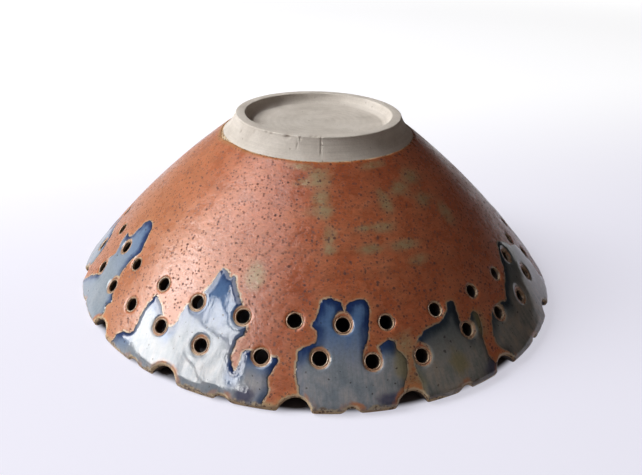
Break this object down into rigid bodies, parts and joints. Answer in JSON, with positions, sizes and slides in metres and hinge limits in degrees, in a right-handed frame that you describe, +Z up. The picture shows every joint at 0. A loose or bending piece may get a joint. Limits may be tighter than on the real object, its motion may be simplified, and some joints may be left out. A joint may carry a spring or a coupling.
{
  "type": "berry colander bowl",
  "caption": "Thrown stoneware berry bowl with a flaring wall, staggered rows of drain holes, a notched rim, a bare foot ring and blue glaze runs over rust glaze.",
  "frame": {"origin": "centre of the circle on which the upturned bowl rests its rim, on the surface that it stands on", "axes": "+Z up, from the rim's resting plane to the foot ring; -Y towards the side that the picture shows; the bowl is turned over about X to hold fruit"},
  "size_m": [0.2017, 0.202, 0.07],
  "materials": {
    "bare_clay": "bare fired stoneware, fine and dry, with a faint trimmed grain",
    "rust_glaze": "satin rust-red glaze with dense dark iron specks",
    "liner_glaze": "dark glossy liner glaze",
    "blue_glaze": "glossy blue glaze, navy at its edges and grey-blue where it pooled"
  },
  "bodies": {
    "root": {"clay_bowl": "bare_clay", "foot_ring": "bare_clay", "rust_glaze": "rust_glaze", "liner_glaze": "liner_glaze", "blue_tongue_left": "blue_glaze", "blue_pool_left": "blue_glaze", "blue_twin_front": "blue_glaze", "blue_shoulder_right": "blue_glaze", "blue_wave_right": "blue_glaze", "blue_twin_side": "blue_glaze", "blue_pool_back": "blue_glaze", "blue_shoulder_back": "blue_glaze", "blue_twin_back": "blue_glaze", "blue_wave_back": "blue_glaze", "blue_tongue_back": "blue_glaze", "blue_shoulder_left": "blue_glaze"}
  },
  "joints": []
}
